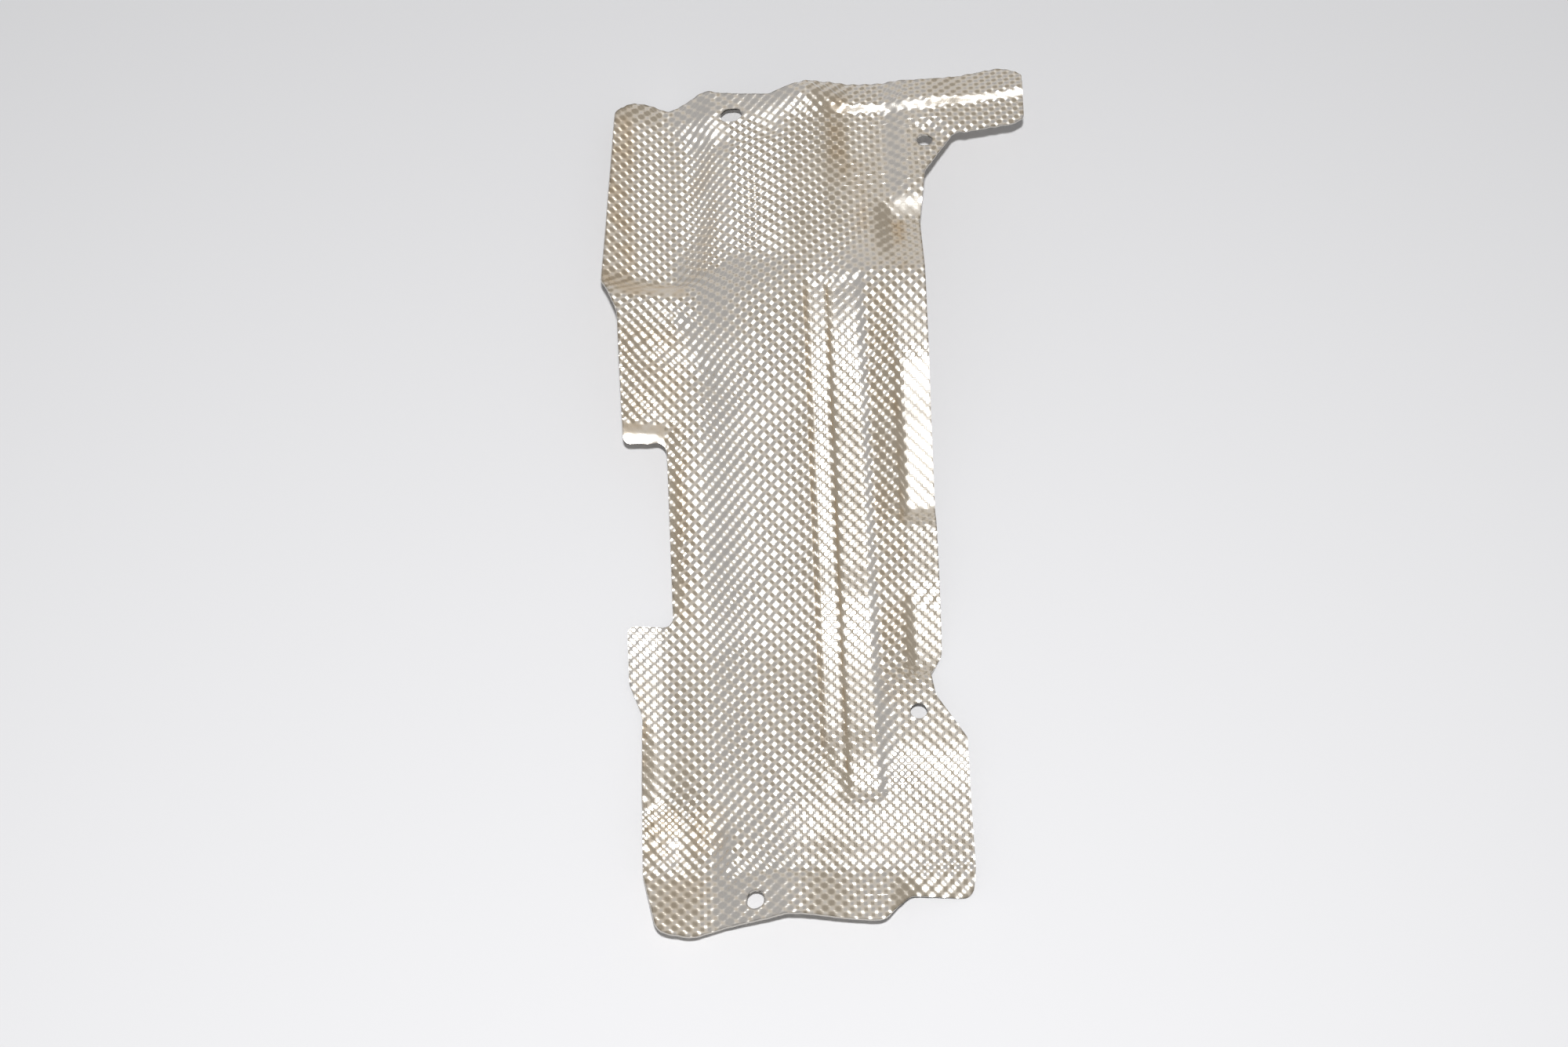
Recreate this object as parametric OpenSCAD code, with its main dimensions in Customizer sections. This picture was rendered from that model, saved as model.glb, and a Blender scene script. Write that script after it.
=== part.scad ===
// Pressed heat shield, one embossed aluminium sheet. Millimetres.
// X runs across the shield, Y along it, Z up from the surface it lies on.

/* [Overall] */
// Overall length of the shield, along Y
shield_l = 467.5; // [440:0.5:500]
// Overall width of the shield with its arm, along X
shield_w = 218; // [205:0.5:235]

/* [Sheet] */
// Thickness of the sheet
sheet_t = 0.9; // [0.6:0.1:1.4]
// Height of the middle face above its own lowest line
face_z = 7.0; // [5:0.5:10]
// Lift that sets the lowest points on the surface it lies on
rest_z = 2.0; // [0:0.05:6]

/* [Long profile] */
// Where the shallow cross valley lies
valley_y = -72; // [-85:1:-60]
// Where the face turns down towards the upper end
ridge_y = 100; // [90:1:110]
// Rise of the face from the valley to the ridge, per mm
rise_mid = 0.19; // [0.15:0.01:0.23]
// Fall of the face beyond the ridge, per mm
fall_top = 0.13; // [0.08:0.01:0.18]
// Rise of the face from the valley towards the lower end, per mm
rise_low = 0.05; // [0.02:0.01:0.08]
// Where the lower face levels off
level_y = -148; // [-156:1:-140]
// Fold line of the lower flange
flange_y = -183; // [-187:1:-178]
// Rise of the lower flange, per mm
flange_rise = 0.34; // [0.2:0.02:0.45]
// Length of the rounding over the ridge, left part
ridge_round = 27; // [12:1:34]

/* [Cross profile] */
// Line where the face starts to fall to the left
crest_x = 11; // [6:1:16]
// Foot of the left fall
foot_x = -38; // [-42:1:-34]
// Depth of the left fall along the lower face
drop_low = 8.5; // [6:0.5:11]
// Depth of the left fall along the middle face
drop_mid = 12; // [9:0.5:14]
// Depth of the left fall at the upper end
drop_top = 17; // [13:0.5:19]
// Outward rise of the left shelf, per mm
shelf_rise = 0.08; // [0.02:0.01:0.14]
// Extra lift of the right side at the ridge
right_lift = 4; // [2:0.5:6]
// Lowering of the right side away from the ridge
right_drop = 3; // [1:0.5:5]
// Lowering of the lower right face below the crest
low_right = 3.5; // [1:0.5:5]

/* [Upper trough] */
// Floor line of the trough at the upper left
trough_x = -53; // [-56:1:-49]
// Floor height of the trough at its inner end
trough_z = 7; // [5:0.5:9]
// Fall of the trough floor towards the upper end, per mm
trough_fall = 0.08; // [0.05:0.005:0.12]
// Line where the trough ends in a slope
trough_y = 125; // [120:1:130]
// Top of the steep wall beside the trough
wall_x = -27; // [-31:1:-24]
// Outward rise of the left bank, per mm
bank_rise = 0.36; // [0.2:0.02:0.5]

/* [Channel rib] */
// Left edge of the channel
rib_x0 = 14.5; // [12:0.5:17]
// Step line inside the channel
rib_x1 = 25; // [22:0.5:28]
// Right edge of the channel
rib_x2 = 41; // [38:0.5:44]
// Depth of the shallow strip
rib_d1 = 1.2; // [0.8:0.1:1.8]
// Depth of the deep strip
rib_d2 = 2.5; // [2.0:0.1:3.5]
// Lower end of the channel
rib_end = -147; // [-151:1:-143]
// Upper end of the channel
rib_top = 112; // [106:1:118]

/* [Right edge] */
// Inner line of the right flange
pocket_x = 58; // [55:0.5:61]
// Depth of the pockets along the right flange
pocket_d = 4.2; // [2.5:0.1:5.5]
// Upper end of the long pocket
pocket_a1 = 75; // [70:1:79]
// Lower end of the long pocket
pocket_a0 = -5; // [-10:1:0]
// Upper end of the short pocket
pocket_b1 = -47; // [-51:1:-43]
// Lower end of the short pocket
pocket_b0 = -84; // [-87:1:-81]
// Lift of the lower right hole pad above the flange
pad_lift = 2; // [0:0.5:5]

/* [Holes] */
// Diameter of the round holes
hole_d = 8; // [6:0.1:9]
// Length of the upper left slot, across the shield
slot_a_len = 11.4; // [9.5:0.1:13]
// Width of the upper left slot
slot_a_w = 9.4; // [7:0.1:9.5]
// Length of the lower slot, along the shield
slot_b_len = 10; // [8.5:0.1:12]
// Width of the lower slot
slot_b_w = 8; // [6:0.1:8.5]
// Upper left slot, across the shield
ha_x = -19.5; // [-23:0.5:-16]
// Upper left slot, along the shield
ha_y = 232; // [229:0.5:233]
// Upper right hole, across the shield
hb_x = 78.5; // [75:0.5:80]
// Upper right hole, along the shield
hb_y = 201; // [198:0.5:203]
// Lower right hole, across the shield
hc_x = 59.5; // [57:0.5:62]
// Lower right hole, along the shield
hc_y = -106; // [-109:0.5:-103]
// Lower slot, across the shield
hd_x = -20; // [-23:0.5:-17]
// Lower slot, along the shield
hd_y = -197.5; // [-200:0.5:-196]

/* [Edges] */
// Right end of the arm, across the shield
arm_x = 131; // [118:0.5:140]
// Right edge of the shield below the arm
right_x = 73.5; // [72:0.5:76]
// Inner line of the notch in the left edge
notch_x = -55.5; // [-62:0.5:-52]
// Lower corner of the notch, along the shield
notch_y0 = -54.5; // [-60:0.5:-50]
// Upper corner of the notch, along the shield
notch_y1 = 35; // [31:0.5:38]

/* [Hidden] */
$fn = 48;

function unit(t) = max(0, min(1, t));
// soft step from 0 at a to 1 at b
function ease(t, a, b) = let (s = unit((t - a) / (b - a))) s * s * (3 - 2 * s);
// rounded fold: 0 before c, t - c after it, w is half the rounding
function fold(t, c, w) = t <= c - w ? 0 : t >= c + w ? t - c : (t - c + w) * (t - c + w) / (4 * w);
function mix(a, b, s) = a + (b - a) * s;
// soft band, 1 between b and c, 0 outside a and d
function band(t, a, b, c, d) = ease(t, a, b) * (1 - ease(t, c, d));
// round dent or lump of unit height
function lump(x, y, cx, cy, rx, ry) =
    let (q = pow((x - cx) / rx, 2) + pow((y - cy) / ry, 2)) q >= 1 ? 0 : (1 - q) * (1 - q);

// trimmed outline, corners as [x, y, radius], clockwise from the upper left
OUTLINE = [[-79.5, 238.5, 6], [-71, 247, 9], [-60.5, 247, 6], [-51.5, 243.5, 12], [-34, 252.5, 6],
    [0, 241, 10], [13.5, 244, 12], [22.5, 245.5, 14], [31.5, 245, 10], [57, 245, 20],
    [82.5, 242, 30], [120.5, 252.5, 5], [arm_x + 0.5, 247, 5], [arm_x - 1, 212.5, 5],
    [123.5, 209, 4], [99.5, 205, 8], [93.5, 205, 5], [77.5, 181, 8], [right_x, 152, 30],
    [right_x, 59, 200], [right_x - 0.5, -61.5, 200], [right_x - 1, -74, 6], [66.5, -84.5, 6],
    [68, -97.5, 6], [82.5, -121.5, 8], [81.5, -185.5, 30], [80, -196, 6], [51.5, -196, 8],
    [38, -211, 8], [-6.5, -207, 10], [-36, -211, 12], [-49.5, -215.5, 8], [-65, -213.5, 7],
    [-71, -183, 8], [-70.5, -100, 8], [-76.5, -83.5, 8], [-77, notch_y0 + 0.5, 4],
    [notch_x + 0.5, notch_y0 - 0.5, 5], [notch_x - 0.5, notch_y1 + 1, 5], [-77, notch_y1 - 0.5, 3],
    [-79, 104.5, 12], [-87, 127, 8], [-84.5, 162, 40]];

function turn(a, b) = a[0] * b[1] - a[1] * b[0];
// points of the arc that rounds corner i of a closed outline
function corner(c, i) =
    let (n = len(c), p = [c[i][0], c[i][1]],
         q0 = c[(i + n - 1) % n], q1 = c[(i + 1) % n],
         u = [q0[0], q0[1]] - p, v = [q1[0], q1[1]] - p,
         un = u / norm(u), vn = v / norm(v),
         half = acos(max(-1, min(1, un * vn))) / 2,
         len_max = 0.48 * min(norm(u), norm(v)),
         t = min(c[i][2] / tan(half), len_max), r = t * tan(half),
         o = p + (un + vn) / norm(un + vn) * (r / sin(half)),
         a0 = atan2((p + un * t - o)[1], (p + un * t - o)[0]),
         sweep = 180 - 2 * half, k = max(1, ceil(sweep / 15)),
         s = turn(un, vn) > 0 ? -1 : 1)
    [for (m = [0:k]) o + r * [cos(a0 + s * sweep * m / k), sin(a0 + s * sweep * m / k)]];
function rounded(c) = [for (i = [0:len(c) - 1]) each corner(c, i)];
function span(c, k) = max([for (p = c) p[k]]) - min([for (p = c) p[k]]);
// the plain middle takes up what the overall sizes ask for: across in the left fall, along below the notch
more_w = shield_w - span(rounded(OUTLINE), 0);
more_l = shield_l - span(rounded(OUTLINE), 1);
function across(x) = x - more_w * unit((crest_x - 3 - x) / (crest_x - 3 - foot_x));
function along(y) = y - more_l * unit((pocket_a0 - 5 - y) / (pocket_a0 - 5 - pocket_b1));

// height of the face along its crest
function spine(x, y) =
    let (w = mix(ridge_round, 7, ease(x, 18, 46)), f = mix(fall_top, fall_top + 0.07, ease(x, 18, 46)))
    face_z
    + rise_mid * fold(y, valley_y, 12)
    - (rise_mid + f) * fold(y, ridge_y + 8 * ease(x, -60, -30) - 8 + 9 * ease(x, 18, 46), w)
    + rise_low * (fold(-y, -valley_y, 12) - fold(-y, -level_y, 6))
    + flange_rise * fold(-y, -flange_y, 3);

function drop(y) = drop_low + (drop_mid - drop_low) * ease(y, -85, -10)
    + (drop_top - drop_mid) * ease(y, 105, 150);
function fall_left(x, y) = -drop(y) * pow(unit((crest_x - x) / (crest_x - foot_x)), 1.6);
function shelf(x, y) =
    (shelf_rise + 0.14 * ease(y, -20, 60) + 0.2 * (1 - ease(y, -142, -108))) * fold(-x, 45, 4);

// face with its left fall, shelf and right side, before the local forms
function face(x, y) = spine(x, y) + fall_left(x, y) + shelf(x, y)
    + (right_lift * ease(y, 52, 100) - right_drop * band(y, -70, -10, 40, 80)) * ease(x, 16, 56)
    - low_right * ease(x, -4, 32) * (1 - ease(y, -152, -110));

// trough at the upper left with its steep wall and left bank
function trough(x, y) = trough_z - trough_fall * (y - 138)
    + bank_rise * fold(-x, -trough_x, 4) + 0.24 * fold(-x, 74, 3);
function upper_left(x, y, z) =
    let (d = 7 * (1 - ease(y, 130, 170)) + 10 * ease(y, 216, 236),
         t = mix(trough(x, y), z, ease(x, trough_x + 7 - d, wall_x - d)))
    mix(z, t, ease(y, trough_y - 9 + 4 * ease(x, -70, -50), trough_y + 9));

// two-step channel pressed into the face, its shallow strip cut off slantwise at the lower end
function rib(x, y) =
    let (e = ease(y, rib_end - 3, rib_end + 3) * (1 - ease(y, rib_top, rib_top + 4)),
         l = mix(rib_end + 29, rib_end + 1, unit((x - rib_x0) / (rib_x1 - rib_x0))),
         c = 1 - mix(0.65, 1, ease(-y, -20, 60)) * ease(x, rib_x2 - 0.8, rib_x2 + 1.4))
    -rib_d1 * ease(x, rib_x0 - 0.8, rib_x0 + 0.8) * c
        * min(e, mix(ease(y, l - 3, l + 3), 1, ease(x, 20, 26)))
    - (rib_d2 - rib_d1) * ease(x, rib_x1 - 1, rib_x1 + 1) * c * e;

// pocket in the right flange, deepest at its lower end
function pocket(x, y, y0, y1, d0, d1, w0, w1) =
    -mix(d0, d1, unit((y - y0) / (y1 - y0))) * ease(x, pocket_x - 1.4, pocket_x + 1)
        * ease(y, y0 - w0, y0 + w0) * (1 - ease(y, y1 - w1, y1 + w1));

// right side: outward fall, pockets, hole pad
function right_side(x, y) =
    -(fold(x, rib_x2 + 3, 2) - fold(x, pocket_x, 2))
        * (0.2 * band(y, pocket_a0 - 4, pocket_a0 + 6, 96, 118)
            + 0.1 * band(y, pocket_b0 - 8, pocket_b0, pocket_b1, pocket_b1 + 6))
    + pocket(x, y, pocket_a0, pocket_a1, pocket_d, 0.6, 5, 2)
    + pocket(x, y, pocket_b0, pocket_b1, pocket_d, 0.7 * pocket_d, 6, 3.5)
    + pad_lift * ease(x, 41, 51) * band(y, -144, -117, -92, -78)
    - 1.2 * ease(x, 50, 80) * band(y, -190, -120, 20, 60);

// right flange between the ridge and the upper right pad
function right_top(x, y) =
    -4.5 * ease(x, 51, 60) * band(y, 112, 154, 154, 166)
    + 4 * ease(x, 56, 70) * ease(y, 158, 176) - 1.5 * ease(x, 24, 40) * band(y, 118, 160, 190, 226);

// rim strips along the left edge and around the notch
function rim(x, y) =
    1.1 * (1 - ease(x, -75, -72)) * band(y, 42, 50, 96, 110)
    + 2.2 * (1 - ease(x, -56, -50)) * band(y, 33, 40, 40, 46)
    + 2.2 * (1 - ease(x, -54, -50)) * band(y, -50, -44, 28, 36)
    + 2.4 * (1 - ease(x, -71.5, -66)) * band(y, -154, -146, -108, -103)
    + 1.8 * (1 - ease(x, -70, -66)) * band(y, -180, -172, -158, -152);

// dents of the left shelf and the low corner at the lower left
function dents(x, y) =
    -2.2 * lump(x, y, -64, 84, 15, 13) - 1.4 * lump(x, y, -50, 96, 11, 14)
    - 2.2 * ease(-x - 0.45 * (y - 100), 42, 50) * band(y, 56, 74, 100, 116) * ease(x, -74, -58)
    - 1.2 * lump(x, y, -52, 60, 14, 12) - 1.0 * lump(x, y, -66, 52, 10, 9)
    - 3.2 * lump(x, y, -42, -170, 12, 19) + 1.8 * lump(x, y, -29, -172, 6, 15)
    - 1.4 * lump(x, y, -62, -172, 8, 12);

// lower flange: sunk pad, lifted middle, falling right corner
function lower(x, y) =
    ease(-y, -flange_y - 2, -flange_y + 6) * (
        2.5 * band(x, -30, -4, -4, 22)
        - (1 + 0.07 * (x - 44)) * ease(x, 40, 56) * (1 + 0.26 * fold(-y, 186, 3)));

// middle line and half width of the joggle that runs out along the arm
function joggle(x) = 224.5 + 0.145 * fold(x, 86, 8) + 0.27 * fold(-x, -52, 5);
function joggle_w(x) = mix(1.8, 3, unit((x - 60) / 60));
// upper edge: hole pad, dome, joggled strip and arm
function upper(x, y) =
    5.0 * lump(x, y, 21, 236, 17, 15)
    - 2.2 * band(x, -32, -24, 0, 10) * ease(y, 206, 216)
    + 2.4 * ease(x, 26, 34) * ease(y, joggle(x) - joggle_w(x), joggle(x) + joggle_w(x))
    - 0.16 * ease(x, 24, 50) * fold(y, joggle(x) + 4, 3)
    - 0.1 * ease(x, 84, 96) * fold(y, 205, 3)
    + 3 * ease(x, 60, 95) * ease(y, 196, 212);

function raw(x, y) =
    let (z = upper_left(x, y, face(x, y)))
    z + rib(x, y) + right_side(x, y) + right_top(x, y) + rim(x, y) + dents(x, y) + lower(x, y) + upper(x, y);

// flat pads the holes are pierced in: x, y, fall across, fall along, flat radius, outer radius
PADS = [[ha_x, ha_y, 0.16, -0.20, 7.5, 20], [hb_x, hb_y, 0.04, -0.20, 7, 14],
        [hc_x, hc_y, 0.0, -0.05, 7, 13], [hd_x, hd_y, 0.20, -0.28, 7, 17]];
PAD_Z = [for (p = PADS) raw(p[0], p[1])];
function on_pad(x, y, z, i) =
    let (p = PADS[i], d = norm([x - p[0], y - p[1]]))
    d >= p[5] ? z : mix(z, PAD_Z[i] + p[2] * (x - p[0]) + p[3] * (y - p[1]), 1 - ease(d, p[4], p[5]));
function height(x, y) =
    on_pad(x, y, on_pad(x, y, on_pad(x, y, on_pad(x, y, raw(x, y), 0), 1), 2), 3);

// grid lines, closer where the sheet is folded
XS = concat([-92, -87, -82, -77, -73, -69.5], [for (x = [-65:5:-25]) x], [-20, -13, -6, 1, 8, rib_x0 - 1,
    rib_x0 + 1, 20, rib_x1 - 1.2, rib_x1 + 1.2, 33, rib_x2 - 1, rib_x2 + 1.6, 50, pocket_x - 1.6,
    pocket_x + 1.2],
    [for (x = [65:5.5:84]) x], [for (i = [1:6]) 81.5 + (arm_x + 6 - 81.5) * i / 6]);
YS = concat([for (y = [-220:6:-196]) y], [-190, -185.5, -181.5, -176], [for (y = [-169:6.5:-156]) y],
    [-151, -147, -143, -137, -130, -124, -118], [-111, -104, -98, -93, -88, -83.5, -79, -73],
    [for (y = [-66:6:-54]) y], [-50, -45, -38, -30, -22, -16, -10, -5, 0, 8, 16, 24, 30, 34, 40, 46],
    [51, 56, 61, 66, 73, 77, 82, 88, 94, 101, 107, 112, 117, 122, 127, 133, 140, 148, 154, 160, 166],
    [for (y = [173:7.5:196]) y], [203, 208.5, 214, 218.5, 222, 225, 228, 231],
    [234.5, 239, 244, 249, 254, 258]);

NX = len(XS);
NY = len(YS);
// cells that hold some of the sheet
function near(x, y) =
    y < -186 ? x > -75 && x < 86 :
    y < -90 ? x > -77 && x < 86 :
    y < notch_y0 + 0.5 ? x > -82 && x < 78 :
    y < notch_y1 - 5 ? x > notch_x - 6.5 && x < 78 :
    y < 178 ? x > -92 && x < 80 :
    y < 196 ? x > -90 && x < 106 : x > -88 && x < arm_x + 8;
function used(i, j) = near((XS[i] + XS[i + 1]) / 2, (YS[j] + YS[j + 1]) / 2);
function vid(i, j) = j * NX + i;
Z = [for (j = [0:NY - 1]) [for (i = [0:NX - 1]) height(XS[i], YS[j])]];
function grade(i, j) =
    let (a = max(0, i - 1), b = min(NX - 1, i + 1), c = max(0, j - 1), d = min(NY - 1, j + 1))
    norm([1, (Z[j][b] - Z[j][a]) / (XS[b] - XS[a]), (Z[d][i] - Z[c][i]) / (YS[d] - YS[c])]);
PTS = concat([for (j = [0:NY - 1]) for (i = [0:NX - 1]) [across(XS[i]), along(YS[j]), Z[j][i]]],
    [for (j = [0:NY - 1]) for (i = [0:NX - 1])
        [across(XS[i]), along(YS[j]), Z[j][i] - sheet_t * grade(i, j)]]);
M = NX * NY;
function has(i, j) = i >= 0 && j >= 0 && i < NX - 1 && j < NY - 1 && used(i, j);
FACES = [for (j = [0:NY - 2]) for (i = [0:NX - 2]) if (used(i, j))
    let (a = vid(i, j), b = vid(i + 1, j), c = vid(i + 1, j + 1), d = vid(i, j + 1))
    each concat([[a, c, b], [a, d, c], [M + a, M + b, M + c], [M + a, M + c, M + d]],
        has(i, j - 1) ? [] : [[a, b, M + b], [a, M + b, M + a]],
        has(i + 1, j) ? [] : [[b, c, M + c], [b, M + c, M + b]],
        has(i, j + 1) ? [] : [[c, d, M + d], [c, M + d, M + c]],
        has(i - 1, j) ? [] : [[d, a, M + a], [d, M + a, M + d]])];

module formed_sheet() polyhedron(points = PTS, faces = FACES, convexity = 10);

TRIM = rounded([for (p = OUTLINE) [across(p[0]), along(p[1]), p[2]]]);

// height of the hole cutters
cut_h = 11 * sheet_t;
// a cutter standing square to pad i
module at_pad(i) {
    p = PADS[i];
    n = [-p[2], -p[3], 1];
    translate([across(p[0]), along(p[1]), PAD_Z[i]]) rotate([0, acos(1 / norm(n)), atan2(n[1], n[0])])
        rotate([0, 0, -atan2(n[1], n[0])]) children();
}
module slot(len, w) {
    hx = (len - w) / 2;
    translate([-hx, -w / 2, -cut_h / 2]) cube([2 * hx, w, cut_h]);
    for (s = [-1, 1]) translate([s * hx, 0, -cut_h / 2]) cylinder(d = w, h = cut_h);
}
module hole() translate([0, 0, -cut_h / 2]) cylinder(d = hole_d, h = cut_h);

// middle of the trimmed outline, and the heights it is cut between
MID = [for (k = [0, 1]) (min([for (p = TRIM) p[k]]) + max([for (p = TRIM) p[k]])) / 2];
LOW_Z = min([for (r = Z) min(r)]) - 4 * sheet_t;
HIGH_Z = max([for (r = Z) max(r)]) + 2 * sheet_t;

module heat_shield() color([0.78, 0.76, 0.73]) translate([-MID[0], -MID[1], rest_z])
    difference() {
        intersection() {
            formed_sheet();
            translate([0, 0, LOW_Z]) linear_extrude(HIGH_Z - LOW_Z) polygon(TRIM);
        }
        at_pad(0) slot(slot_a_len, slot_a_w);
        at_pad(1) hole();
        at_pad(2) hole();
        at_pad(3) rotate([0, 0, 90]) slot(slot_b_len, slot_b_w);
    }

heat_shield();
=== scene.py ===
import math

import bpy
import numpy as np
from bpy.props import FloatProperty, FloatVectorProperty, PointerProperty
from bpy.types import Operator, Panel, PropertyGroup
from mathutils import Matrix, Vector
from mathutils.bvhtree import BVHTree


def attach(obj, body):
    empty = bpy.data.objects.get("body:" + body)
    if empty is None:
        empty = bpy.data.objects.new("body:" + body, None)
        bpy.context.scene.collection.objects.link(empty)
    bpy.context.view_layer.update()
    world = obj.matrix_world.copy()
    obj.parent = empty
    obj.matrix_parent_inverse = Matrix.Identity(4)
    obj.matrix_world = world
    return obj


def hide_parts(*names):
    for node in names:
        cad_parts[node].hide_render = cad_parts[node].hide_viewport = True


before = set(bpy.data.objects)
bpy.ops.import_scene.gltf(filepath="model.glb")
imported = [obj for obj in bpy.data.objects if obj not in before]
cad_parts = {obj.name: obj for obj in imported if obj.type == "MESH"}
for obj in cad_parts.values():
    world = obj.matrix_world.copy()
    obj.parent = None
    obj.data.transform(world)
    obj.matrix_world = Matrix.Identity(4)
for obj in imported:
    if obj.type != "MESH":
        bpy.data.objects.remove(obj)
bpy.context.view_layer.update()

bl_info = {
    "name": "Embossed heat shield",
    "version": (1, 0, 0),
    "blender": (4, 5, 0),
    "location": "View3D > Sidebar > Heat shield",
    "description": "Builds the looks of an embossed heat shield around its packed CAD sheet",
    "category": "Object",
}

MM = 0.001
TOP_FACE_RISE = 0.42        # least rise of the normal that makes a CAD facet part of the top face
FLOOR_GAP = 0.0001          # the sheet's underside never comes closer to the floor than this
STEEPEST_SHADING = 0.5      # slope at which the shading of steep walls levels off
RING_HEIGHT = 0.42          # heights of the finer marks, as shares of the emboss height
GRAIN_HEIGHT = 0.10
RUB_HEIGHT = 0.16
# Painted shade: a darker colour along the cut edge of the top face, mixed in by this share.
EDGE_SHADE_COLOR = (0.40, 0.38, 0.35, 1.0)
EDGE_SHADE_SHARE = 0.6
LOOKED_AT = (-0.02236, -0.01842, 0.002)     # point in the middle of the photograph's view
CAMERA_TURN = math.radians(2.0)             # turn of the view about the vertical
SENSOR_WIDTH = 36.0
LAMP_ABOVE_CAMERA = 0.15
LAMP_DISTANCE = 1.15                        # lamp's distance from the sheet, in camera distances
LAMP_SIZE = 0.06
GLOW_HALF_WIDTH = 0.24                      # soft light in reflections, as parts of a unit sphere
GLOW_HALF_LENGTH = 0.34
GLOW_PLACE = 0.6                            # 0 is straight above, 1 is at the camera


# ---------------------------------------------------------------- settings
class ShieldSettings(PropertyGroup):
    """Sizes and finish of the embossed sheet"""

    grid_step: FloatProperty(
        name="Mesh step", description="Spacing of the mesh that follows the pressed sheet",
        default=0.00124, min=0.0008, max=0.004, subtype="DISTANCE", unit="LENGTH")
    thickness: FloatProperty(
        name="Thickness", description="Thickness of the sheet",
        default=0.0009, min=0.0004, max=0.002, subtype="DISTANCE", unit="LENGTH")
    emboss_pitch: FloatProperty(
        name="Emboss pitch", description="Distance between two bumps of the same kind",
        default=0.0062, min=0.003, max=0.012, subtype="DISTANCE", unit="LENGTH")
    emboss_height: FloatProperty(
        name="Emboss height", description="Height of a bump and depth of a dent",
        default=0.00047, min=0.0, max=0.001, subtype="DISTANCE", unit="LENGTH")
    metal_color: FloatVectorProperty(
        name="Metal colour", description="Colour of the bare metal",
        default=(0.86, 0.82, 0.755), size=3, min=0.0, max=1.0, subtype="COLOR")
    # This colour is also painted as warm shade on walls, slopes and creases.
    stain_and_shade_color: FloatVectorProperty(
        name="Stain colour", description="Colour of the warm film that dulls parts of the sheet",
        default=(0.74, 0.63, 0.49), size=3, min=0.0, max=1.0, subtype="COLOR")
    roughness: FloatProperty(
        name="Roughness", description="Roughness of the bare metal",
        default=0.26, min=0.0, max=1.0, subtype="FACTOR")


class StageSettings(PropertyGroup):
    """Floor, light and camera"""

    floor_color: FloatVectorProperty(
        name="Floor colour", description="Colour of the plain floor",
        default=(0.80, 0.80, 0.815), size=3, min=0.0, max=1.0, subtype="COLOR")
    key_power: FloatProperty(
        name="Key light power", description="Power of the small light above the camera",
        default=25.0, min=0.0, max=400.0, unit="POWER")
    soft_level: FloatProperty(
        name="Soft light level",
        description="Brightness of the soft light round the camera, in reflections",
        default=0.93, min=0.0, max=5.0)
    room_level: FloatProperty(
        name="Room level", description="Brightness of the rest of the room, in reflections",
        default=0.49, min=0.0, max=2.0)
    fill_level: FloatProperty(
        name="Fill level", description="Brightness of the dim light from all round",
        default=0.25, min=0.0, max=2.0)
    camera_distance: FloatProperty(
        name="Camera distance", description="Distance from the camera to the point it looks at",
        default=1.5, min=0.3, max=5.0, subtype="DISTANCE", unit="LENGTH")
    camera_tilt: FloatProperty(
        name="Camera tilt", description="Angle between the view and straight down",
        default=math.radians(27.2), min=0.0, max=1.5, subtype="ANGLE", unit="ROTATION")
    lens: FloatProperty(
        name="Lens", description="Focal length of the camera in millimetres, on a 36 mm sensor",
        default=70.74, min=20.0, max=300.0)


# ---------------------------------------------------------------- sheet
def welded(obj):
    """Points, triangles and triangle normals of a CAD node, with equal points joined."""
    mesh = obj.data
    mesh.calc_loop_triangles()
    co = np.empty(len(mesh.vertices) * 3)
    mesh.vertices.foreach_get("co", co)
    tri = np.empty(len(mesh.loop_triangles) * 3, np.int64)
    mesh.loop_triangles.foreach_get("vertices", tri)
    points, back = np.unique(np.round(co.reshape(-1, 3), 7), axis=0, return_inverse=True)
    tri = back.reshape(-1)[tri].reshape(-1, 3)
    a, b, c = (points[tri[:, k]] for k in range(3))
    normal = np.cross(b - a, c - a)
    size = np.linalg.norm(normal, axis=1)
    keep = size > 1e-14
    return points, tri[keep], normal[keep] / size[keep, None]


def edge_loops(tri):
    """Closed loops of point numbers round a set of triangles."""
    half = np.concatenate([tri[:, [0, 1]], tri[:, [1, 2]], tri[:, [2, 0]]])
    seen = {(int(a), int(b)) for a, b in half}
    follow = {}
    for a, b in seen:
        if (b, a) not in seen:
            follow.setdefault(a, []).append(b)
    loops = []
    while follow:
        start = next(iter(follow))
        loop, at = [start], start
        while True:
            nxt = follow[at].pop()
            if not follow[at]:
                del follow[at]
            if nxt == start:
                break
            if nxt not in follow:
                raise RuntimeError("the top of the CAD sheet has an open edge")
            loop.append(nxt)
            at = nxt
        loops.append(loop)
    return loops


def slopes(x, y):
    """Slopes at the points of a monotone cubic through y(x), along the first axis."""
    h = np.diff(x)[:, None]
    d = np.diff(y, axis=0) / h
    m = np.zeros_like(y)
    w1, w2 = 2 * h[1:] + h[:-1], h[1:] + 2 * h[:-1]
    same = d[:-1] * d[1:] > 0
    with np.errstate(divide="ignore", invalid="ignore"):
        inner = (w1 + w2) / (w1 / d[:-1] + w2 / d[1:])
    m[1:-1] = np.where(same, inner, 0.0)
    m[0], m[-1] = d[0], d[-1]
    return m


def cubic(x, y, at):
    """Monotone cubic through y(x) along the first axis, read at the places given."""
    m = slopes(x, y)
    i = np.clip(np.searchsorted(x, at) - 1, 0, len(x) - 2)
    h = (x[i + 1] - x[i])[:, None]
    t = ((at - x[i])[:, None] / h).clip(0, 1)
    return ((1 + 2 * t) * (1 - t) ** 2 * y[i] + t * (1 - t) ** 2 * h * m[i]
            + t * t * (3 - 2 * t) * y[i + 1] + t * t * (t - 1) * h * m[i + 1])


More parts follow.
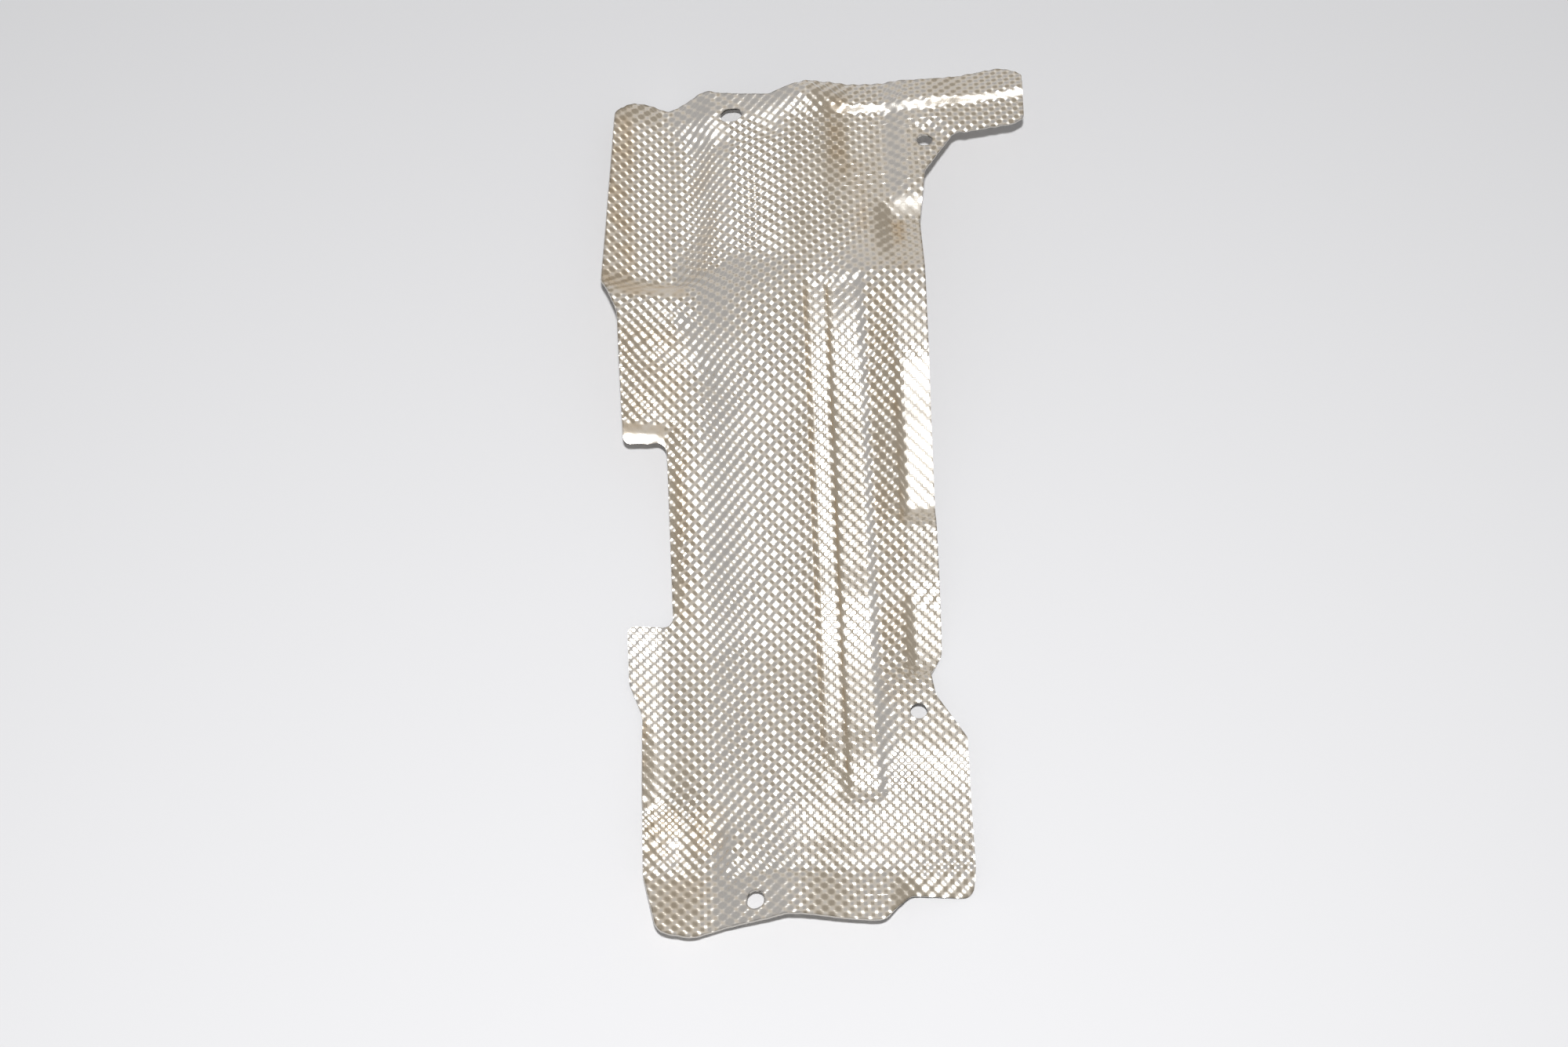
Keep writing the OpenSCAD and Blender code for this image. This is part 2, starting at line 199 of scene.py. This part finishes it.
def fold_lines(values, least=12):
    """Coordinates that many points share: the lines the CAD sheet is folded along."""
    found, count = np.unique(np.round(values, 5), return_counts=True)
    lines = found[count >= least]
    closest = 0.4 * MM
    keep = [lines[0]]
    for v in lines[1:]:
        if v - keep[-1] > closest:
            keep.append(v)
    return np.array(keep)


class Surface:
    """Smooth top face read from the faceted CAD sheet."""

    def __init__(self, obj):
        points, tri, normal = welded(obj)
        top = normal[:, 2] > TOP_FACE_RISE
        self.tri, self.points, self.normal = tri[top], points, normal[top]
        self.loops = [points[loop][:, :2] for loop in edge_loops(self.tri)]
        flat = [(p[0], p[1], 0.0) for p in points]
        self.tree = BVHTree.FromPolygons(flat, self.tri.tolist())
        used = points[np.unique(self.tri)]
        lines = [fold_lines(used[:, k]) for k in (0, 1)]
        self.low, self.high = used.min(0), used.max(0)
        margin = 4 * MM
        self.x = np.concatenate([[self.low[0] - margin], lines[0], [self.high[0] + margin]])
        self.y = np.concatenate([[self.low[1] - margin], lines[1], [self.high[1] + margin]])
        self.z = np.array([[self.plane(x, y) for x in self.x] for y in self.y])

    def plane(self, x, y):
        """Height at a point, on the plane of the nearest top facet."""
        face = self.tree.find_nearest((x, y, 0.0))[2]
        n, p = self.normal[face], self.points[self.tri[face][0]]
        return p[2] - (n[0] * (x - p[0]) + n[1] * (y - p[1])) / n[2]

    def sample(self, xs, ys):
        """Heights on a fine grid, one row for each y."""
        along = cubic(self.x, self.z.T, xs).T
        return cubic(self.y, along, ys)


def inside_rows(loops, xs, ys):
    """True where a grid point lies in the sheet, by counting the edges crossed along its row."""
    a = np.concatenate(loops)
    b = np.concatenate([np.roll(loop, -1, axis=0) for loop in loops])
    found = np.zeros((len(ys), len(xs)), bool)
    for j, y in enumerate(ys):
        hit = (a[:, 1] > y) != (b[:, 1] > y)
        p, q = a[hit], b[hit]
        cross = np.sort(p[:, 0] + (y - p[:, 1]) / (q[:, 1] - p[:, 1]) * (q[:, 0] - p[:, 0]))
        found[j] = np.searchsorted(cross, xs) % 2 == 1
    return found


def nearest_on_loops(loops, pts):
    """Nearest points on the outline for a set of points."""
    a = np.concatenate(loops)
    b = np.concatenate([np.roll(loop, -1, axis=0) for loop in loops])
    d = b - a
    length = (d * d).sum(1).clip(1e-18)
    best = np.empty_like(pts)
    for k, p in enumerate(pts):
        t = (((p - a) * d).sum(1) / length).clip(0, 1)
        foot = a + d * t[:, None]
        best[k] = foot[((foot - p) ** 2).sum(1).argmin()]
    return best


# All zones are in millimetres from the middle of the sheet. Each starts with
# x, y, half size along x, half size along y, turn in degrees, width of the soft border.
# Where the press changed the emboss: share of the full emboss, share of the thin ring marks.
EMBOSS_ZONES = [
    (4.8, -35.4, 13.4, 129.0, 0, 3.0, 0.10, 1.0),
    (48.0, -15.4, 11.0, 95.0, 0, 3.0, 0.16, 1.0),
    (48.0, 16.6, 10.5, 37.0, 0, 4.0, 0.0, 0.35),
    (48.0, -83.9, 10.5, 14.0, 0, 4.0, 0.05, 0.8),
    (15.6, -183.4, 46.0, 15.0, 0, 8.0, 0.18, 1.1),
    (41.6, -120.4, 20.0, 12.0, 0, 5.0, 0.50, 0.6),
    (41.6, -151.4, 22.0, 17.0, 0, 6.0, 0.28, 1.0),
    (-92.4, -120.4, 10.0, 52.0, 0, 8.0, 0.16, 0.8),
    (-84.9, 49.6, 17.5, 30.0, 0, 10.0, 0.60, 0.6),
    (-22.4, -218.4, 92.0, 14.0, 0, 4.0, 0.55, 0.4),
    (34.6, 151.6, 21.0, 52.0, 0, 14.0, 0.42, 0.5),
    (-36.4, 212.6, 26.0, 18.0, 0, 8.0, 0.45, 0.4),
    (-58.4, 154.6, 8.0, 42.0, 0, 6.0, 1.3, 0.0),
    (-102.4, 164.1, 10.0, 58.0, 0, 6.0, 0.70, 0.2),
    (-84.9, 104.6, 17.5, 7.0, 0, 6.0, 0.25, 0.0),
    (33.0, 207.5, 27.0, 2.2, -4, 3.0, 0.1, 0.1),
    (84.0, 209.5, 25.0, 2.6, 8, 2.5, 0.0, 0.1),
    (46.6, 142.1, 9.0, 5.0, -8, 4.0, 0.05, 0.2),
    (-89.4, 21.1, 11.0, 6.5, 0, 4.0, 0.10, 0.0),
    (50.0, -122.0, 26.0, 14.0, 0, 8.0, 0.20, 1.1),
    (-36.0, 165.0, 7.0, 44.0, 0, 6.0, 1.6, 0.0),
    (-88.0, -180.0, 14.0, 10.0, 0, 8.0, 0.40, 0.6),
]
# Warm tone that dulls the metal, real stains in places and painted warm shade along walls, slopes
# and creases: strength.
STAIN_AND_SHADE_ZONES = [
    (-101.0, 164.0, 9.0, 60.0, 0, 8.0, 0.8),
    (-58.0, 154.0, 8.0, 42.0, 0, 8.0, 0.45),
    (-71.0, -28.0, 4.0, 42.0, 0, 5.0, 0.7),
    (-85.0, 50.0, 17.0, 30.0, 0, 14.0, 0.5),
    (27.5, -15.0, 7.0, 105.0, 0, 5.0, 0.45),
    (-8.3, -30.0, 0.8, 122.0, 0, 1.8, 1.0),
    (2.4, -30.0, 0.8, 122.0, 0, 1.8, 1.0),
    (34.0, -6.0, 1.6, 60.0, 0, 2.5, 0.9),
    (12.0, 188.0, 5.0, 28.0, 0, 6.0, 0.8),
    (21.0, 150.0, 4.0, 24.0, 0, 6.0, 0.6),
    (40.0, 116.0, 3.0, 18.0, 0, 4.0, 1.0),
    (-85.0, 104.6, 18.0, 8.0, 0, 6.0, 0.7),
    (-89.0, 21.1, 11.0, 6.5, 0, 4.0, 0.8),
    (-92.5, -128.0, 2.5, 27.0, 0, 3.0, 1.0),
    (-84.0, -180.0, 9.0, 13.0, 0, 6.0, 0.7),
    (-63.0, -178.0, 8.0, 12.0, 0, 6.0, 0.6),
    (-80.0, -214.0, 18.0, 16.0, 0, 12.0, 0.3),
]
# Where the reflections lean away from the sheet's own slope: lean across, lean along.
LEAN_ZONES = [
    (0.0, 165.0, 32.0, 52.0, 0, 20.0, -0.14, 0.17),
    (-18.0, -35.0, 24.0, 128.0, 0, 24.0, -0.14, 0.0),
    (-94.0, 165.0, 20.0, 52.0, 0, 16.0, 0.20, 0.18),
    (-58.0, 165.0, 10.0, 52.0, 0, 10.0, -0.12, 0.28),
    (-34.0, 165.0, 14.0, 46.0, 0, 16.0, -0.18, 0.24),
    (-35.0, 218.0, 26.0, 14.0, 0, 10.0, 0.0, 0.20),
    (96.0, 213.0, 42.0, 24.0, 0, 12.0, 0.0, 0.12),
    (-85.0, 80.0, 22.0, 22.0, 0, 16.0, 0.10, 0.24),
    (4.8, 30.0, 13.0, 78.0, 0, 6.0, 0.0, 0.13),
    (4.8, -97.0, 13.0, 34.0, 0, 6.0, 0.0, 0.19),
    (50.0, -50.0, 14.0, 75.0, 0, 10.0, 0.0, 0.09),
    (30.0, -166.0, 60.0, 22.0, 0, 12.0, 0.05, 0.17),
    (-92.0, -110.0, 12.0, 75.0, 0, 12.0, 0.12, 0.24),
    (-20.0, -214.0, 95.0, 20.0, 0, 10.0, 0.06, 0.16),
    (-88.0, 35.0, 18.0, 30.0, 0, 14.0, 0.12, 0.14),
    (-88.0, -182.0, 20.0, 16.0, 0, 10.0, 0.16, 0.24),
    (-4.0, -35.0, 6.0, 129.0, 0, 4.0, 0.12, 0.04),
    (33.0, 207.5, 27.0, 2.2, -4, 3.0, 0.0, 0.50),
    (84.0, 209.5, 25.0, 2.6, 8, 2.5, 0.0, 0.50),
    (46.0, -122.0, 26.0, 14.0, 0, 10.0, 0.05, 0.10),
    (8.0, -140.0, 9.0, 10.0, 0, 8.0, 0.0, -0.06),
]
# Rubbed lines left by the press: strength.
RUB_ZONES = [
    (34.0, 158.0, 22.0, 50.0, 0, 10.0, 1.0),
    (56.0, 184.0, 14.0, 14.0, 0, 8.0, 1.0),
    (-35.0, 217.0, 24.0, 12.0, 0, 8.0, 0.6),
    (-20.0, -212.0, 40.0, 10.0, 0, 6.0, 0.8),
]


def zone_mask(plan, zone):
    """How far each place lies in a zone, 0 to 1, with a smooth border."""
    cx, cy, hx, hy, turn, soft = zone[:6]
    t = math.radians(turn)
    x, y = plan[:, 0] - cx, plan[:, 1] - cy
    u = x * math.cos(t) + y * math.sin(t)
    v = -x * math.sin(t) + y * math.cos(t)
    d = np.maximum(np.abs(u) - hx, np.abs(v) - hy)
    s = (0.5 - d / soft).clip(0, 1)
    return s * s * (3 - 2 * s)


def finish_shares(plan):
    """Share of emboss, ring marks, warm stain with painted warm shade, and rubbed lines at each
    place of the sheet.
    """
    emboss, rings, stain_and_shade, rub = (np.full(len(plan), v) for v in (1.0, 0.0, 0.0, 0.0))
    for zone in EMBOSS_ZONES:
        mask = zone_mask(plan, zone)
        emboss += (zone[6] - emboss) * mask
        rings += (zone[7] - rings) * mask
    for zone in STAIN_AND_SHADE_ZONES:
        stain_and_shade = np.maximum(stain_and_shade, zone_mask(plan, zone) * zone[6])
    for zone in RUB_ZONES:
        rub = np.maximum(rub, zone_mask(plan, zone) * zone[6])
    return {"emboss": emboss, "rings": rings, "stain_and_shade": stain_and_shade, "rub": rub}


def leaned_normals(normal, plan):
    """Normals for the reflections: steep walls are softened, then the zones lean."""
    slope = normal[:, :2] / normal[:, 2:]
    slope = STEEPEST_SHADING * np.tanh(slope / STEEPEST_SHADING)
    for zone in LEAN_ZONES:
        slope -= zone_mask(plan, zone)[:, None] * np.array(zone[6:8])
    leaned = np.column_stack([slope, np.ones(len(slope))])
    return leaned / np.linalg.norm(leaned, axis=1)[:, None]


class SheetGrid:
    """Square grid over the sheet, its points inside the outline and the cells between them."""

    def __init__(self, surface, step):
        first = np.floor(surface.low[:2] / step) - 1
        count = (np.ceil(surface.high[:2] / step) + 2 - first).astype(int)
        self.step = step
        self.xs, self.ys = ((first[k] + np.arange(count[k])) * step for k in (0, 1))
        cells = inside_rows(surface.loops, self.xs[:-1] + step / 2, self.ys[:-1] + step / 2)
        padded = np.pad(cells, 1).astype(int)
        around = padded[:-1, :-1] + padded[1:, :-1] + padded[:-1, 1:] + padded[1:, 1:]
        used = around > 0
        number = np.full(used.shape, -1)
        number[used] = np.arange(used.sum())
        rows, cols = np.nonzero(used)
        self.places = np.stack([self.xs[cols], self.ys[rows]], 1)
        self.border = around[used] < 4
        self.places[self.border] = nearest_on_loops(surface.loops, self.places[self.border])
        j, i = np.nonzero(cells)
        self.quads = np.stack(
            [number[j, i], number[j, i + 1], number[j + 1, i + 1], number[j + 1, i]], 1)

    def read(self, values):
        """Values of the grid, read between its points at the sheet's places."""
        fx = ((self.places[:, 0] - self.xs[0]) / self.step).clip(0, len(self.xs) - 1.001)
        fy = ((self.places[:, 1] - self.ys[0]) / self.step).clip(0, len(self.ys) - 1.001)
        i, j = fx.astype(int), fy.astype(int)
        s, t = fx - i, fy - j
        return ((1 - s) * (1 - t) * values[j, i] + s * (1 - t) * values[j, i + 1]
                + (1 - s) * t * values[j + 1, i] + s * t * values[j + 1, i + 1])

    def rim_walls(self):
        """Faces that join the upper and the lower side all round the outline and the holes."""
        n, quads = len(self.places), self.quads
        sides = np.concatenate([quads[:, [k, (k + 1) % 4]] for k in range(4)])
        key = sides[:, 0] * n + sides[:, 1]
        other = sides[:, 1] * n + sides[:, 0]
        rim = sides[~np.isin(key, other)]
        return np.stack([rim[:, 0], rim[:, 0] + n, rim[:, 1] + n, rim[:, 1]], 1)


def build_sheet(settings):
    """Embossed sheet of even thickness, with the shares of its finish as attributes."""
    surface = Surface(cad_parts["heat_shield"])
    grid = SheetGrid(surface, settings.grid_step)
    heights = surface.sample(grid.xs, grid.ys)
    slope_y, slope_x = np.gradient(heights, grid.step)
    places, n = grid.places, len(grid.places)
    normal = np.stack([-grid.read(slope_x), -grid.read(slope_y), np.ones(n)], 1)
    normal /= np.linalg.norm(normal, axis=1)[:, None]
    plan = places / MM
    shares = finish_shares(plan)
    crate = np.cos(2 * math.pi * places / settings.emboss_pitch).prod(1)
    relief = crate * shares["emboss"] * settings.emboss_height
    upper = np.column_stack([places, grid.read(heights) + relief])
    lower = upper - normal * settings.thickness
    lower[:, 2] = lower[:, 2].clip(FLOOR_GAP, None)
    wall_points, wall_face = np.unique(grid.rim_walls(), return_inverse=True)
    both = np.concatenate([upper, lower])
    points = np.concatenate([both, both[wall_points]])
    faces = np.concatenate([grid.quads, grid.quads[:, ::-1] + n, wall_face.reshape(-1, 4) + 2 * n])
    mesh = bpy.data.meshes.new("embossed_sheet")
    mesh.from_pydata(points.tolist(), [], faces.tolist())
    mesh.polygons.foreach_set("use_smooth", np.ones(len(faces), bool))
    # The rim attribute marks the border points; the material paints a shade line along the cut
    # edge with it.
    for name, values in {**shares, "rim": grid.border.astype(float)}.items():
        values = np.concatenate([values, values])
        values = np.concatenate([values, values[wall_points]]).astype(np.float32)
        mesh.attributes.new(name, "FLOAT", "POINT").data.foreach_set("value", values)
    mesh.update()
    own = np.empty(len(points) * 3)
    mesh.vertices.foreach_get("normal", own)
    own = own.reshape(-1, 3)
    leaned = leaned_normals(normal, plan)
    own[:n], own[n:2 * n] = leaned, -leaned
    mesh.normals_split_custom_set_from_vertices(own.tolist())
    obj = bpy.data.objects.new("embossed_sheet", mesh)
    bpy.context.scene.collection.objects.link(obj)
    return obj


# ---------------------------------------------------------------- materials
class Nodes:
    """Short way to add and join nodes in one tree."""

    def __init__(self, tree):
        self.tree = tree

    def add(self, kind, inputs=None, **settings):
        node = self.tree.nodes.new(kind)
        for name, value in settings.items():
            setattr(node, name, value)
        for name, value in (inputs or {}).items():
            self.put(node.inputs[name], value)
        return node

    def put(self, socket, value):
        if isinstance(value, bpy.types.NodeSocket):
            self.tree.links.new(value, socket)
        else:
            socket.default_value = value

    def math(self, operation, *values):
        node = self.add("ShaderNodeMath", operation=operation)
        for k, value in enumerate(values):
            self.put(node.inputs[k], value)
        return node.outputs[0]

    def vector(self, operation, *values):
        node = self.add("ShaderNodeVectorMath", operation=operation)
        for k, value in enumerate(values):
            self.put(node.inputs[k], value)
        return node.outputs["Vector"]

    def scaled(self, vector, factor):
        node = self.add("ShaderNodeVectorMath", operation="SCALE")
        self.put(node.inputs[0], vector)
        self.put(node.inputs["Scale"], factor)
        return node.outputs[0]

    def ramp(self, value, low, high, to_low=0.0, to_high=1.0, kind="SMOOTHSTEP"):
        node = self.add("ShaderNodeMapRange", interpolation_type=kind)
        for name, v in (("Value", value), ("From Min", low), ("From Max", high),
                        ("To Min", to_low), ("To Max", to_high)):
            self.put(node.inputs[name], v)
        return node.outputs["Result"]

    def noise(self, vector, scale, detail=2.0):
        node = self.add("ShaderNodeTexNoise", {"Vector": vector, "Scale": scale, "Detail": detail})
        return node.outputs["Fac"]

    def attribute(self, name):
        return self.add("ShaderNodeAttribute", attribute_name=name).outputs["Fac"]

    def mix(self, factor, a, b):
        node = self.add("ShaderNodeMix", data_type="RGBA")
        for k, value in ((0, factor), (6, a), (7, b)):
            self.put(node.inputs[k], value)
        return node.outputs[2]


def group_sockets(tree, inputs, outputs):
    """Named inputs and outputs of a node group, with the nodes that carry them."""
    for name, kind, default in inputs:
        socket = tree.interface.new_socket(name=name, in_out="INPUT", socket_type=kind)
        if default is not None:
            socket.default_value = default
    for name, kind in outputs:
        tree.interface.new_socket(name=name, in_out="OUTPUT", socket_type=kind)
    return tree.nodes.new("NodeGroupInput"), tree.nodes.new("NodeGroupOutput")


def emboss_group():
    """Egg-crate embossing: height of its bumps and dents, and thin rings round each of them."""
    tree = bpy.data.node_groups.new("Egg-crate embossing", "ShaderNodeTree")
    given, out = group_sockets(
        tree,
        [("Vector", "NodeSocketVector", None), ("Pitch", "NodeSocketFloat", 0.0062)],
        [("Height", "NodeSocketFloat"), ("Rings", "NodeSocketFloat")])
    n = Nodes(tree)
    place = given.outputs["Vector"]
    drift = n.add("ShaderNodeTexNoise", {"Vector": place, "Scale": 60.0, "Detail": 1.0})
    moved = n.vector("SUBTRACT", drift.outputs["Color"], (0.5, 0.5, 0.5))
    place = n.vector("ADD", place, n.scaled(moved, 1.0 * MM))
    cell = n.scaled(place, n.math("DIVIDE", 1.0, given.outputs["Pitch"]))
    parts = n.add("ShaderNodeSeparateXYZ", {"Vector": cell})
    wave = [n.math("COSINE", n.math("MULTIPLY", parts.outputs[k], 2 * math.pi)) for k in "XY"]
    crate = n.math("MULTIPLY", wave[0], wave[1])
    n.put(out.inputs["Height"], crate)
    rings = n.math("SUBTRACT", n.ramp(crate, 0.0, 0.70), n.ramp(crate, 0.0, -0.70))
    n.put(out.inputs["Rings"], rings)
    return tree


def metal_material(settings):
    """Bare aluminium with the emboss, ring marks, rubbed lines, warm stains with painted warm
    shade, and a painted shade line along the cut edge.
    """
    mat = bpy.data.materials.new("Embossed aluminium")
    mat.use_nodes = True
    tree = mat.node_tree
    tree.nodes.clear()
    n = Nodes(tree)
    out = n.add("ShaderNodeOutputMaterial")
    shader = n.add("ShaderNodeBsdfPrincipled")
    shader.inputs["Metallic"].default_value = 1.0
    place = n.add("ShaderNodeTexCoord").outputs["Object"]
    facing = n.add("ShaderNodeTexCoord").outputs["Normal"]
    side = n.math("SIGN", n.add("ShaderNodeSeparateXYZ", {"Vector": facing}).outputs["Z"])

    pattern = n.add("ShaderNodeGroup", node_tree=emboss_group())
    n.put(pattern.inputs["Vector"], place)
    pattern.inputs["Pitch"].default_value = settings.emboss_pitch
    bumps = n.math("MULTIPLY", pattern.outputs["Height"], n.attribute("emboss"))
    rings = n.math("MULTIPLY", pattern.outputs["Rings"], n.attribute("rings"))
    relief = n.math("ADD", bumps, n.math("MULTIPLY", rings, RING_HEIGHT))
    uneven = n.ramp(n.noise(place, 25.0), 0.3, 0.7, 0.8, 1.15)
    height = n.math("MULTIPLY", relief, n.math("MULTIPLY", side, uneven))
    grain = n.math("MULTIPLY", n.noise(place, 900.0, 3.0), GRAIN_HEIGHT)
    streak = n.vector("MULTIPLY", place, (12.0, 620.0, 0.0))
    line = n.ramp(n.noise(streak, 1.0, 1.0), 0.66, 0.74)
    rubbed = n.math("MULTIPLY", n.math("MULTIPLY", line, n.attribute("rub")), RUB_HEIGHT)
    surface = n.math("ADD", n.math("ADD", height, grain), rubbed)
    bump = n.add("ShaderNodeBump", {
        "Height": surface, "Strength": 1.0, "Distance": settings.emboss_height})

    # Warm stains in places, and painted warm shade on walls, slopes and creases, mixed into the
    # metal colour.
    stain_and_shade_amount = n.math("MULTIPLY", n.attribute("stain_and_shade"), n.ramp(n.noise(place, 70.0, 3.0), 0.3, 0.65))
    color = n.mix(stain_and_shade_amount, (*settings.metal_color, 1.0), (*settings.stain_and_shade_color, 1.0))
    # Painted shade line along the cut edge of the sheet.
    edge = n.math("MULTIPLY", n.ramp(n.attribute("rim"), 0.25, 0.9), EDGE_SHADE_SHARE)
    rough = n.ramp(n.noise(place, 40.0, 3.0), 0.3, 0.7,
                   settings.roughness - 0.04, settings.roughness + 0.05)
    n.put(shader.inputs["Base Color"], n.mix(edge, color, EDGE_SHADE_COLOR))
    n.put(shader.inputs["Roughness"], rough)
    n.put(shader.inputs["Normal"], bump.outputs["Normal"])
    n.put(out.inputs["Surface"], shader.outputs["BSDF"])
    return mat


def plain_material(name, color, roughness):
    """Matt material of one colour, for the floor."""
    mat = bpy.data.materials.new(name)
    mat.use_nodes = True
    shader = mat.node_tree.nodes["Principled BSDF"]
    shader.inputs["Base Color"].default_value = (*color, 1.0)
    shader.inputs["Roughness"].default_value = roughness
    shader.inputs["Specular IOR Level"].default_value = 0.2
    return mat


# ---------------------------------------------------------------- stage
def round_lamp(name, place, target, size, power):
    """Round white lamp that shines from its place towards a target."""
    lamp = bpy.data.lights.new(name, "AREA")
    lamp.shape, lamp.size, lamp.energy = "DISK", size, power
    obj = bpy.data.objects.new(name, lamp)
    bpy.context.scene.collection.objects.link(obj)
    obj.location = place
    obj.rotation_euler = (target - place).to_track_quat("-Z", "Y").to_euler()


def build_world(settings, towards_camera):
    """Dim fill light, a soft light in reflections and a pale background."""
    world = bpy.data.worlds.new("Studio")
    bpy.context.scene.world = world
    world.use_nodes = True
    tree = world.node_tree
    tree.nodes.clear()
    n = Nodes(tree)
    way = n.add("ShaderNodeTexCoord").outputs["Generated"]
    where = n.add("ShaderNodeSeparateXYZ", {"Vector": way})
    side = n.ramp(where.outputs["X"], -0.7, 0.7)
    room = n.mix(side, (0.97, 0.97, 1.0, 1.0), (1.0, 0.90, 0.76, 1.0))
    across = n.math("DIVIDE", where.outputs["X"], GLOW_HALF_WIDTH)
    offset = n.math("SUBTRACT", where.outputs["Y"], GLOW_PLACE * towards_camera.y)
    along = n.math("DIVIDE", offset, GLOW_HALF_LENGTH)
    squares = [n.math("MULTIPLY", value, value) for value in (across, along)]
    spread = n.math("SQRT", n.math("ADD", *squares))
    over = n.ramp(where.outputs["Z"], 0.0, 0.3)
    glow = n.math("MULTIPLY", n.ramp(spread, 1.45, 0.75), over)
    wide = n.math("ABSOLUTE", where.outputs["X"])
    dim = settings.room_level
    flank = n.ramp(where.outputs["X"], -0.3, 0.3, dim * 0.92, dim * 0.72)
    rear = n.ramp(wide, 0.10, 0.50, dim * 1.30, flank)
    level = n.ramp(glow, 0.0, 1.0, rear, settings.soft_level, "LINEAR")
    mirrored = n.add("ShaderNodeBackground", {
        "Color": n.mix(glow, room, (1, 1, 1, 1)), "Strength": level})
    fill = n.add("ShaderNodeBackground", {"Color": (1, 1, 1, 1), "Strength": settings.fill_level})
    seen = n.add("ShaderNodeBackground", {"Color": (*settings.floor_color, 1.0), "Strength": 1.0})
    path = n.add("ShaderNodeLightPath")
    shader = fill.outputs[0]
    for test, other in (("Is Glossy Ray", mirrored), ("Is Camera Ray", seen)):
        pick = n.add("ShaderNodeMixShader")
        n.put(pick.inputs[0], path.outputs[test])
        n.put(pick.inputs[1], shader)
        n.put(pick.inputs[2], other.outputs[0])
        shader = pick.outputs[0]
    out = n.add("ShaderNodeOutputWorld")
    n.put(out.inputs["Surface"], shader)


def build_stage(settings):
    """Floor, camera, key light and world."""
    scene = bpy.context.scene
    bpy.ops.mesh.primitive_plane_add(size=6.0, location=(0.0, 0.0, 0.0))
    floor = bpy.context.active_object
    floor.name = "Floor"
    floor.data.materials.append(plain_material("Pale floor", settings.floor_color, 0.9))
    target, tilt = Vector(LOOKED_AT), settings.camera_tilt
    back = Vector((-math.sin(CAMERA_TURN) * math.sin(tilt),
                   -math.cos(CAMERA_TURN) * math.sin(tilt), math.cos(tilt)))
    place = target + back * settings.camera_distance
    data = bpy.data.cameras.new("Camera")
    data.lens, data.sensor_width = settings.lens, SENSOR_WIDTH
    camera = bpy.data.objects.new("Camera", data)
    scene.collection.objects.link(camera)
    camera.location = place
    camera.rotation_euler = (-back).to_track_quat("-Z", "Y").to_euler()
    scene.camera = camera
    up = camera.rotation_euler.to_matrix() @ Vector((0.0, 1.0, 0.0))
    above = target + (place + up * LAMP_ABOVE_CAMERA - target) * LAMP_DISTANCE
    round_lamp("Key light", above, target, LAMP_SIZE, settings.key_power)
    build_world(settings, back)
    scene.view_settings.view_transform = "Standard"


# ---------------------------------------------------------------- operators
class SHIELD_OT_sheet(Operator):
    """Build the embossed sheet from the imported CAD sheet"""

    bl_idname = "heat_shield.sheet"
    bl_label = "Embossed sheet"

    def execute(self, context):
        settings = context.scene.shield_settings
        obj = build_sheet(settings)
        obj.data.materials.append(metal_material(settings))
        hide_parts("heat_shield")
        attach(obj, "root")
        return {"FINISHED"}


class SHIELD_OT_stage(Operator):
    """Build the floor, the lights and the camera"""

    bl_idname = "heat_shield.stage"
    bl_label = "Stage"

    def execute(self, context):
        build_stage(context.scene.shield_stage)
        return {"FINISHED"}


class SHIELD_PT_panel(Panel):
    """Sidebar panel of the heat shield"""

    bl_label = "Heat shield"
    bl_space_type = "VIEW_3D"
    bl_region_type = "UI"
    bl_category = "Heat shield"

    def draw(self, context):
        for owner in (context.scene.shield_settings, context.scene.shield_stage):
            box = self.layout.box()
            for name in owner.bl_rna.properties.keys():
                if name not in ("rna_type", "name"):
                    box.prop(owner, name)
        self.layout.operator("heat_shield.sheet")
        self.layout.operator("heat_shield.stage")


CLASSES = (ShieldSettings, StageSettings, SHIELD_OT_sheet, SHIELD_OT_stage, SHIELD_PT_panel)


def register():
    for cls in CLASSES:
        bpy.utils.register_class(cls)
    bpy.types.Scene.shield_settings = PointerProperty(type=ShieldSettings)
    bpy.types.Scene.shield_stage = PointerProperty(type=StageSettings)


def unregister():
    del bpy.types.Scene.shield_stage
    del bpy.types.Scene.shield_settings
    for cls in reversed(CLASSES):
        bpy.utils.unregister_class(cls)


def main():
    register()
    bpy.ops.heat_shield.sheet()
    bpy.ops.heat_shield.stage()


if __name__ == "__main__":
    main()
